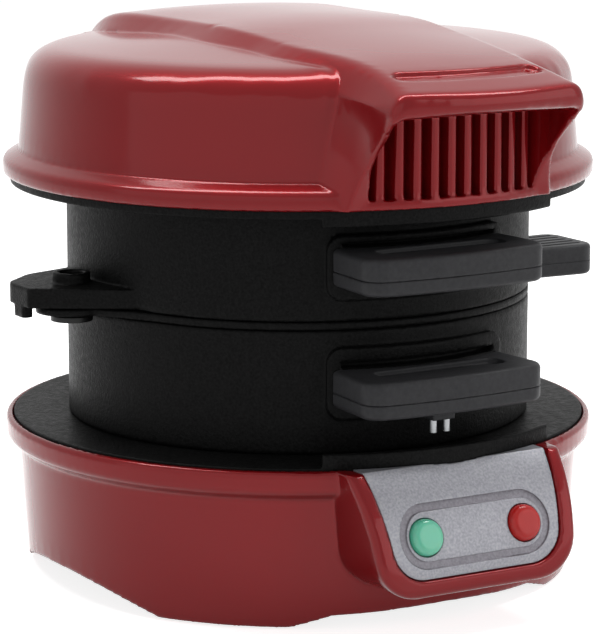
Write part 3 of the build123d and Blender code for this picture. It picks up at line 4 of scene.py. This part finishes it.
import bpy
import numpy as np
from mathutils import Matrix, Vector


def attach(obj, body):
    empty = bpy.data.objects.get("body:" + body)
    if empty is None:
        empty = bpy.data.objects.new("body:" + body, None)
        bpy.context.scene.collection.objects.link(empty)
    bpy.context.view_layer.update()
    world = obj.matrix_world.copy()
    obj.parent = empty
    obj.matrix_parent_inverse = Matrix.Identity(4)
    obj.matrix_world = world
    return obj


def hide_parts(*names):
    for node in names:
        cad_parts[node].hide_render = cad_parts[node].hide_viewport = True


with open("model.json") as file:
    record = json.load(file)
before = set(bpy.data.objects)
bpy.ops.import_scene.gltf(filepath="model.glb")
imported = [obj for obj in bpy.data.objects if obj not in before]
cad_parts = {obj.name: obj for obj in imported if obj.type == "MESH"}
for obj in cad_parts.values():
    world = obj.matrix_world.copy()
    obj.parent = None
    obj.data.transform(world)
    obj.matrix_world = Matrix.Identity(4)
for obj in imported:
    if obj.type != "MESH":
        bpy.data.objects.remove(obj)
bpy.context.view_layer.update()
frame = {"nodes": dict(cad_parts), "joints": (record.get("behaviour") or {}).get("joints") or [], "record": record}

# Breakfast sandwich maker: red lid and base, black rings and plates. Metres; the front faces -Y.

MM = 0.001
record = frame["record"]
joints = {joint["name"]: joint for joint in frame["joints"]}
axis_x = joints["lid_hinge"]["pos_m"][0]        # the upright axis of the rings, in X
slot_of = {part["node"]: part["material_slot"] for part in record["subparts"]}
body_of = {
    cad_node: body
    for body, cad_nodes in record["behaviour"]["bodies"].items()
    for cad_node in cad_nodes
}


# ---------------------------------------------------------------- shader nodes
NOISE_LOW, NOISE_HIGH = 0.3, 0.7        # most of a noise texture's values lie between these


def linear(hex_colour):
    "sRGB hex to the linear colour that a shader takes."
    channels = [int(hex_colour[i : i + 2], 16) / 255 for i in (1, 3, 5)]
    return tuple(
        c / 12.92 if c <= 0.04045 else ((c + 0.055) / 1.055) ** 2.4 for c in channels
    ) + (1.0,)


def node(tree, kind, settings=(), links=()):
    "Adds one shader node with its settings and the links into it."
    made = tree.nodes.new(kind)
    for name, value in dict(settings).items():
        if isinstance(name, str) and hasattr(made, name):
            setattr(made, name, value)
        else:
            made.inputs[name].default_value = value
    for name, source in dict(links).items():
        tree.links.new(source, made.inputs[name])
    return made


def noise(tree, size_mm, **settings):
    "Noise over the piece's own space, with its size in real millimetres."
    place = node(tree, "ShaderNodeTexCoord").outputs["Object"]
    texture = node(
        tree, "ShaderNodeTexNoise", {"Scale": 1 / (size_mm * MM), **settings}, {"Vector": place}
    )
    return texture.outputs["Fac"]


def mottle(tree, shader, light, dark, size_mm):
    "A slight drift of the colour over the surface."
    ramp = node(
        tree, "ShaderNodeValToRGB", links={"Fac": noise(tree, size_mm, Detail=2.0)}
    )
    first, last = ramp.color_ramp.elements
    first.position = NOISE_LOW
    first.color = linear(dark)
    last.position = NOISE_HIGH
    last.color = linear(light)
    tree.links.new(ramp.outputs["Color"], shader.inputs["Base Color"])


def uneven_roughness(tree, shader, low, high, size_mm):
    "Roughness that wanders between two values, as on a handled or sprayed surface."
    spread = node(
        tree,
        "ShaderNodeMapRange",
        {"From Min": NOISE_LOW, "From Max": NOISE_HIGH, "To Min": low, "To Max": high},
        {"Value": noise(tree, size_mm, Detail=3.0)},
    )
    tree.links.new(spread.outputs["Result"], shader.inputs["Roughness"])


def grain(tree, shader, size_mm, depth_mm, strength=0.5):
    "Fine surface grain as bump, with its size and depth in real millimetres."
    bump = node(
        tree,
        "ShaderNodeBump",
        {"Strength": strength, "Distance": depth_mm * MM},
        {"Height": noise(tree, size_mm, Detail=3.0, Roughness=0.6)},
    )
    tree.links.new(bump.outputs["Normal"], shader.inputs["Normal"])


# ---------------------------------------------------------------- materials
def finish(name, colour, tones=None, roughness=None, bump=None, **sockets):
    "A material from its Principled shader, with its drift of colour and roughness and its grain."
    material = bpy.data.materials.new(name)
    material.use_nodes = True
    tree = material.node_tree
    shader = tree.nodes["Principled BSDF"]
    shader.inputs["Base Color"].default_value = linear(colour)
    for socket, value in sockets.items():
        shader.inputs[socket.replace("_", " ")].default_value = value
    if tones:
        mottle(tree, shader, **tones)
    if roughness:
        uneven_roughness(tree, shader, **roughness)
    if bump:
        grain(tree, shader, **bump)
    return material


def silver_paint(name, colour, light, dark):
    "ABS sprayed with aluminium paint: silver-grey with a fine sparkle under a satin surface."
    return finish(
        name, colour,
        tones=dict(light=light, dark=dark, size_mm=0.6),
        roughness=dict(low=0.36, high=0.46, size_mm=3.0),
        bump=dict(size_mm=0.45, depth_mm=0.02),
        Metallic=0.35, IOR=1.5,
    )


def acrylic_lens(name, colour, gloss):
    "Tinted acrylic: coloured through, slightly cloudy, under a clear surface."
    return finish(
        name, colour,
        roughness=dict(low=0.14, high=0.22, size_mm=4.0),
        IOR=1.49, Specular_IOR_Level=gloss, Coat_Weight=0.6 * gloss, Coat_Roughness=0.04,
        Subsurface_Weight=0.25, Subsurface_Scale=0.003,
    )


# By the record's material slot; the groove's darker silver, which is painted shade of the groove, and
# the blackened steel are finishes of their own, which scene.py alone gives out
materials = {
    # Moulded ABS sprayed with a metallic red lacquer: deep colour under a clear, smooth gloss
    "red_shell": finish(
        "red lacquered ABS", "#7A090F",
        tones=dict(light="#7D0A10", dark="#77080E", size_mm=60.0),
        roughness=dict(low=0.30, high=0.34, size_mm=40.0),
        Metallic=0.3, IOR=1.5, Specular_IOR_Level=0.0,
        Coat_Weight=1.0, Coat_Roughness=0.12, Coat_IOR=1.3,
    ),
    # Cast aluminium with a sprayed non-stick coat: black, satin, with a fine orange-peel grain
    "coated_casting": finish(
        "black non-stick coated casting", "#0E0E0E",
        tones=dict(light="#171717", dark="#050505", size_mm=0.6),
        roughness=dict(low=0.36, high=0.5, size_mm=1.4),
        bump=dict(size_mm=0.7, depth_mm=0.16, strength=0.9),
        IOR=1.45, Specular_IOR_Level=0.06,
    ),
    # Phenolic plastic from a spark-eroded mould: dull charcoal with a fine even grain
    "handle_plastic": finish(
        "charcoal phenolic plastic", "#2F2F31",
        tones=dict(light="#343436", dark="#2C2C2E", size_mm=1.2),
        roughness=dict(low=0.42, high=0.52, size_mm=10.0),
        bump=dict(size_mm=0.6, depth_mm=0.04),
        IOR=1.5, Specular_IOR_Level=0.15,
    ),
    # Moulded polypropylene, black and dull
    "black_plastic": finish(
        "black polypropylene", "#171717",
        tones=dict(light="#1A1A1A", dark="#141414", size_mm=3.0),
        roughness=dict(low=0.5, high=0.62, size_mm=8.0),
        bump=dict(size_mm=0.8, depth_mm=0.03),
        IOR=1.49, Specular_IOR_Level=0.3,
    ),
    # Soft rubber feet: near black, no shine
    "foot_rubber": finish(
        "black rubber", "#1C1C1C",
        tones=dict(light="#202020", dark="#181818", size_mm=2.0),
        roughness=dict(low=0.75, high=0.85, size_mm=5.0),
        bump=dict(size_mm=0.5, depth_mm=0.03),
        IOR=1.52, Specular_IOR_Level=0.3,
    ),
    "silver_panel": silver_paint("silver painted ABS", "#8F8F94", light="#9C9CA1", dark="#82828A"),
    # Darker silver for the panel's groove: painted shade where the recessed groove lies in shadow
    "groove_shade_silver": silver_paint(
        "silver with painted groove shade", "#77747B", light="#807D84", dark="#6C6970"
    ),
    "green_lens": acrylic_lens("green acrylic lens", "#5EC6A3", gloss=0.5),
    "red_lens": acrylic_lens("red acrylic lens", "#B52220", gloss=0.2),
    # Small neon lamps behind the lenses
    "lamp_glass": finish(
        "clear lamp glass", "#EDE6DC",
        roughness=dict(low=0.03, high=0.07, size_mm=4.0),
        IOR=1.5, Transmission_Weight=0.85,
    ),
    # Rolled aluminised sheet: bright, with a faint unevenness
    "bright_sheet": finish(
        "aluminised sheet", "#B4B4B2",
        roughness=dict(low=0.28, high=0.4, size_mm=5.0),
        bump=dict(size_mm=0.7, depth_mm=0.02),
        Metallic=1.0,
    ),
    # Unglazed steatite: chalky white
    "ceramic": finish(
        "white steatite", "#D2CEC4",
        roughness=dict(low=0.6, high=0.75, size_mm=4.0),
        bump=dict(size_mm=0.4, depth_mm=0.02),
        IOR=1.6,
    ),
    # Powder-coated brackets: black and slightly pebbled
    "black_bracket": finish(
        "black powder-coated steel", "#131313",
        tones=dict(light="#171717", dark="#0F0F0F", size_mm=1.5),
        roughness=dict(low=0.4, high=0.5, size_mm=5.0),
        bump=dict(size_mm=0.9, depth_mm=0.05),
        IOR=1.5, Specular_IOR_Level=0.25,
    ),
    # Zinc-plated steel: cool grey metal, faintly uneven
    "plated_steel": finish(
        "zinc-plated steel", "#9C9EA0",
        roughness=dict(low=0.3, high=0.42, size_mm=2.0),
        bump=dict(size_mm=0.5, depth_mm=0.01),
        Metallic=1.0,
    ),
    # The same steel with a black conversion coat
    "blackened_steel": finish(
        "blackened steel", "#161616",
        tones=dict(light="#1B1B1B", dark="#111111", size_mm=1.5),
        roughness=dict(low=0.36, high=0.46, size_mm=3.0),
        bump=dict(size_mm=0.7, depth_mm=0.02),
        Metallic=0.3, Specular_IOR_Level=0.3,
    ),
}
# The pivot of the cooking plate shows at the side, where it is black
own_finish = {"plate_pivot_pin": "blackened_steel", "plate_pivot_washer": "blackened_steel"}


def dress(piece, cad_node):
    "Gives a piece the material of a CAD node."
    piece.data.materials.clear()
    piece.data.materials.append(materials[own_finish.get(cad_node, slot_of[cad_node])])
    for polygon in piece.data.polygons:
        polygon.material_index = 0


# ---------------------------------------------------------------- copies and modifiers
JOIN_WITHIN = 0.002 * MM        # points of a CAD mesh that lie closer than this are one
SMOOTH_FACTOR = 0.5             # how far a round moves a point towards its neighbours' middle
WEIGHT_STEPS = 10               # smoothing weights go in steps of a tenth


def active_only(piece):
    "Makes a piece the one that the next operator works on."
    bpy.ops.object.select_all(action="DESELECT")
    piece.select_set(True)
    bpy.context.view_layer.objects.active = piece


def apply_modifier(piece, kind, **settings):
    "Adds a modifier to a piece and applies it."
    active_only(piece)
    modifier = piece.modifiers.new(kind.lower(), kind)
    for name, value in settings.items():
        setattr(modifier, name, value)
    bpy.ops.object.modifier_apply(modifier=modifier.name)


def merged_copy(cad_node):
    "A copy of a CAD node with its triangles joined."
    piece = bpy.data.objects.new(cad_node + "_finished", frame["nodes"][cad_node].data.copy())
    bpy.context.scene.collection.objects.link(piece)
    active_only(piece)
    bpy.ops.object.mode_set(mode="EDIT")
    bpy.ops.mesh.select_all(action="SELECT")
    bpy.ops.mesh.remove_doubles(threshold=JOIN_WITHIN)
    bpy.ops.object.mode_set(mode="OBJECT")
    return piece


def smooth_where(piece, weights, rounds):
    "Smooths the points of a piece by their weights."
    group = piece.vertex_groups.new(name="smoothed")
    steps = np.round(weights * WEIGHT_STEPS).astype(int)
    for step in range(1, WEIGHT_STEPS + 1):
        chosen = np.flatnonzero(steps == step)
        if len(chosen):
            group.add(chosen.tolist(), step / WEIGHT_STEPS, "REPLACE")
    apply_modifier(
        piece, "SMOOTH", factor=SMOOTH_FACTOR, iterations=rounds, vertex_group=group.name
    )
    piece.vertex_groups.clear()


# ---------------------------------------------------------------- where a piece is smoothed
NORMAL_BLURS = 2        # rounds of blur that the normals get before the skin's bend is read
EDGE_RINGS = 3          # rings of points that are kept back from an edge
TINY = 1e-12            # keeps a normal without length from dividing by zero
# The lip of the lid's brim, in mm: where its weight starts, and over what it grows to 1
LIP_BACK_Y, LIP_GROWTH_Y = -80.0, 6.0
LIP_LOW_Z, LIP_GROWTH_Z = 123.0, 2.0


def points_of(mesh):
    "The places of a mesh's points."
    places = np.empty(3 * len(mesh.vertices), dtype=np.float32)
    mesh.vertices.foreach_get("co", places)
    return places.reshape(-1, 3)


def blurred_normals(mesh, ends):
    "The mesh's normals at its points, each mixed with its neighbours'."
    count = len(mesh.vertices)
    normals = np.empty(3 * count, dtype=np.float32)
    mesh.vertex_normals.foreach_get("vector", normals)
    normals = normals.reshape(-1, 3)
    for _ in range(NORMAL_BLURS):
        normals = normals + np.stack(
            [
                np.bincount(ends[:, 0], weights=normals[ends[:, 1], i], minlength=count)
                + np.bincount(ends[:, 1], weights=normals[ends[:, 0], i], minlength=count)
                for i in range(3)
            ],
            axis=1,
        )
        normals /= np.linalg.norm(normals, axis=1, keepdims=True) + TINY
    return normals


def open_skin(mesh, bend_deg):
    "1 for the points that lie some rings away from any edge, bead or valley, else 0."
    ends = np.empty(2 * len(mesh.edges), dtype=np.int32)
    mesh.edges.foreach_get("vertices", ends)
    ends = ends.reshape(-1, 2)
    normals = blurred_normals(mesh, ends)
    agreement = (normals[ends[:, 0]] * normals[ends[:, 1]]).sum(axis=1)
    near = np.zeros(len(mesh.vertices), dtype=bool)
    near[ends[agreement < math.cos(math.radians(bend_deg))].ravel()] = True
    for _ in range(EDGE_RINGS):
        touching = near[ends].any(axis=1)
        near[ends[touching].ravel()] = True
    return (~near).astype(float)


def lip_of_the_brim(mesh):
    "1 on the front of the lid's brim, fading to 0 where the brim meets the grille and spine."
    _, y, z = points_of(mesh).T / MM
    forward = np.clip((LIP_BACK_Y - y) / LIP_GROWTH_Y, 0, 1)
    upward = np.clip((z - LIP_LOW_Z) / LIP_GROWTH_Z, 0, 1)
    return forward * upward


# ---------------------------------------------------------------- softened pieces
REMESH_SCALE = 0.95     # share of the octree that the piece fills
LIP_ROUNDS = 30         # smoothing rounds that the lip of the brim gets besides
# The skin between the edges is polished twice: in full where it is nearly flat, then half as
# long up to tighter curves such as the lid's shoulder, which evens out the first one's border
FLAT_BEND_DEG = 4.5
CURVED_BEND_DEG = 7.5

SOFTENED = {        # octree depth, smoothing rounds, polishing rounds, most triangles
    "lid_shell": (8, 4, 110, 190000),
    "base_housing": (8, 4, 60, 190000),
    "bottom_ring": (8, 3, 30, 150000),
    "top_ring": (8, 3, 30, 150000),
    "lower_heating_plate": (8, 2, 20, 150000),
    "upper_heating_plate": (8, 2, 20, 150000),
    "cooking_plate": (8, 2, 10, 120000),
    "control_panel": (8, 4, 30, 80000),
    "preheat_lens": (6, 170, 0, 30000),
    "power_lens": (6, 170, 0, 30000),
    "bottom_ring_handle_lower": (7, 4, 20, 60000),
    "bottom_ring_handle_upper": (7, 4, 20, 60000),
    "top_ring_handle_lower": (7, 4, 20, 60000),
    "top_ring_handle_upper": (7, 4, 20, 60000),
    "plate_handle_lower": (7, 4, 10, 50000),
    "plate_handle_upper": (7, 4, 10, 50000),
    "hinge_bracket": (7, 3, 20, 50000),
    "lid_hinge_bracket": (7, 3, 20, 50000),
    "cord_gland": (6, 3, 6, 40000),
    "plate_pivot_pin": (6, 3, 6, 30000),
}


def stand_in(piece, cad_node):
    "The finished piece takes the CAD node's place, slot and body."
    dress(piece, cad_node)
    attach(piece, body_of[cad_node])
    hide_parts(cad_node)


def softened_copy(cad_node, depth, rounds, polish, most_triangles):
    "A copy with its edges and valleys rounded, as a mould or a spray coat leaves them."
    piece = merged_copy(cad_node)
    apply_modifier(
        piece, "REMESH", mode="SHARP", octree_depth=depth, scale=REMESH_SCALE, sharpness=1.0,
        use_remove_disconnected=False,
    )
    apply_modifier(piece, "SMOOTH", factor=SMOOTH_FACTOR, iterations=rounds)
    if cad_node == "lid_shell":
        smooth_where(piece, lip_of_the_brim(piece.data), LIP_ROUNDS)
    if polish:
        smooth_where(piece, open_skin(piece.data, FLAT_BEND_DEG), polish)
        smooth_where(piece, open_skin(piece.data, CURVED_BEND_DEG), polish // 2)
    triangles = 2 * len(piece.data.polygons)        # the remesh leaves four-sided faces
    if triangles > most_triangles:
        apply_modifier(piece, "DECIMATE", ratio=most_triangles / triangles)
    active_only(piece)
    bpy.ops.object.shade_smooth()
    stand_in(piece, cad_node)
    return piece


for name, cad in frame["nodes"].items():
    dress(cad, name)
finished = {name: softened_copy(name, *how) for name, how in SOFTENED.items()}


# ---------------------------------------------------------------- groove of the panel
# The oval groove round the two lamps gets a darker silver, a painted shade of its recess. In mm:
GROOVE_Z = 25.6             # height of its middle
GROOVE_HALF_RUN = 14.0      # half of its straight length
GROOVE_INNER = 5.6          # radius of its inner side at the round ends
GROOVE_OUTER = 7.6          # and of its outer side


def paint_groove_shade(panel):
    "Gives the groove's faces on the front of the panel the thinner paint."
    panel.data.materials.append(materials["groove_shade_silver"])
    for polygon in panel.data.polygons:
        across = max(abs(polygon.center.x - axis_x) / MM - GROOVE_HALF_RUN, 0)
        upward = polygon.center.z / MM - GROOVE_Z
        if polygon.normal.y < 0 and GROOVE_INNER < math.hypot(across, upward) < GROOVE_OUTER:
            polygon.material_index = 1


paint_groove_shade(finished["control_panel"])


# ---------------------------------------------------------------- floor and sky
FLOOR_SIZE = 12
PAPER_TONE = (0.7, 0.7, 0.7, 1)
WHITE = (1, 1, 1, 1)
PAPER_GLOW = 0.82       # share of the paper's white that is its own, where it is seen directly
SKY_SEEN = 1.0          # strength of the white surroundings where they are seen directly
SKY_LIGHT = 0.24        # and as light that falls on the object


def seen_directly(tree):
    "1 for what the camera, a reflection or clear glass shows, 0 for the light that falls."
    path = node(tree, "ShaderNodeLightPath")
    shown = node(
        tree, "ShaderNodeMath", {"operation": "MAXIMUM"},
        {0: path.outputs["Is Camera Ray"], 1: path.outputs["Is Glossy Ray"]},
    )
    return node(
        tree, "ShaderNodeMath", {"operation": "MAXIMUM"},
        {0: shown.outputs[0], 1: path.outputs["Is Transmission Ray"]},
    ).outputs[0]


def paper_floor():
    "White paper whose white is partly its own, so that it is white and still takes a shadow."
    bpy.ops.mesh.primitive_plane_add(size=FLOOR_SIZE, location=(0, 0, 0))
    floor = bpy.context.active_object
    floor.name = "floor"
    paper = bpy.data.materials.new("white paper floor")
    paper.use_nodes = True
    tree = paper.node_tree
    shader = tree.nodes["Principled BSDF"]
    shader.inputs["Base Color"].default_value = PAPER_TONE
    shader.inputs["Roughness"].default_value = 0.9
    shader.inputs["Specular IOR Level"].default_value = 0.0
    shader.inputs["Emission Color"].default_value = WHITE
    glow = node(
        tree, "ShaderNodeMath", {"operation": "MULTIPLY", 1: PAPER_GLOW}, {0: seen_directly(tree)}
    )
    tree.links.new(glow.outputs[0], shader.inputs["Emission Strength"])
    floor.data.materials.append(paper)
    return floor


def white_sky():
    "White surroundings that light the object only weakly."
    world = bpy.data.worlds.new("studio")
    bpy.context.scene.world = world
    world.use_nodes = True
    tree = world.node_tree
    level = node(
        tree, "ShaderNodeMapRange", {"To Min": SKY_LIGHT, "To Max": SKY_SEEN},
        {"Value": seen_directly(tree)},
    )
    background = tree.nodes["Background"]
    background.inputs["Color"].default_value = WHITE
    tree.links.new(level.outputs["Result"], background.inputs["Strength"])


floor = paper_floor()
white_sky()


# ---------------------------------------------------------------- lamps
LIT_POINT = (axis_x, 0, 0.08)       # the middle of the machine
OVERHEAD_TURN_DEG = -29             # sets the overhead strip's long side across the view


def softbox(name, place, width, height, power):
    "A rectangular area lamp that looks at the middle of the machine."
    light = bpy.data.lights.new(name, "AREA")
    light.shape = "RECTANGLE"
    light.size = width
    light.size_y = height
    light.energy = power
    lamp = bpy.data.objects.new(name, light)
    bpy.context.scene.collection.objects.link(lamp)
    lamp.location = place
    lamp.rotation_euler = (Vector(LIT_POINT) - Vector(place)).to_track_quat("-Z", "Y").to_euler()
    lamp.visible_camera = False
    return lamp


overhead = softbox("softbox overhead", (0.03, 0.05, 0.85), width=1.3, height=0.17, power=10)
overhead.rotation_euler = (0, 0, math.radians(OVERHEAD_TURN_DEG))       # straight down
softbox("softbox front", (-1.1, -0.635, 0.4), width=2.4, height=0.9, power=3.6)
softbox("softbox right", (0.7, -0.95, 0.35), width=0.9, height=0.7, power=3)


# ---------------------------------------------------------------- camera
# Fitted to the photograph; the place is from the rings' axis on the floor
PHOTO_W, PHOTO_H = 598, 634
FOCAL_PX = 3122.24
CENTRE_PX = (294.83, 315.34)        # where the camera's axis meets the picture
CAMERA_PLACE = (-0.4119, -0.6896, 0.2152)
CAMERA_LOOK = (0.503, 0.844, -0.184)
SENSOR_MM = 36                      # along the picture's longer side, its height


def photo_camera():
    "The camera that took the photograph."
    settings = bpy.data.cameras.new("camera")
    settings.sensor_width = SENSOR_MM
    settings.lens = SENSOR_MM * FOCAL_PX / PHOTO_H
    settings.shift_x = (PHOTO_W / 2 - CENTRE_PX[0]) / PHOTO_H
    settings.shift_y = (CENTRE_PX[1] - PHOTO_H / 2) / PHOTO_H
    camera = bpy.data.objects.new("camera", settings)
    bpy.context.scene.collection.objects.link(camera)
    camera.location = (axis_x + CAMERA_PLACE[0], CAMERA_PLACE[1], CAMERA_PLACE[2])
    camera.rotation_euler = Vector(CAMERA_LOOK).to_track_quat("-Z", "Y").to_euler()
    return camera


bpy.context.scene.camera = photo_camera()
bpy.context.scene.view_settings.view_transform = "Standard"
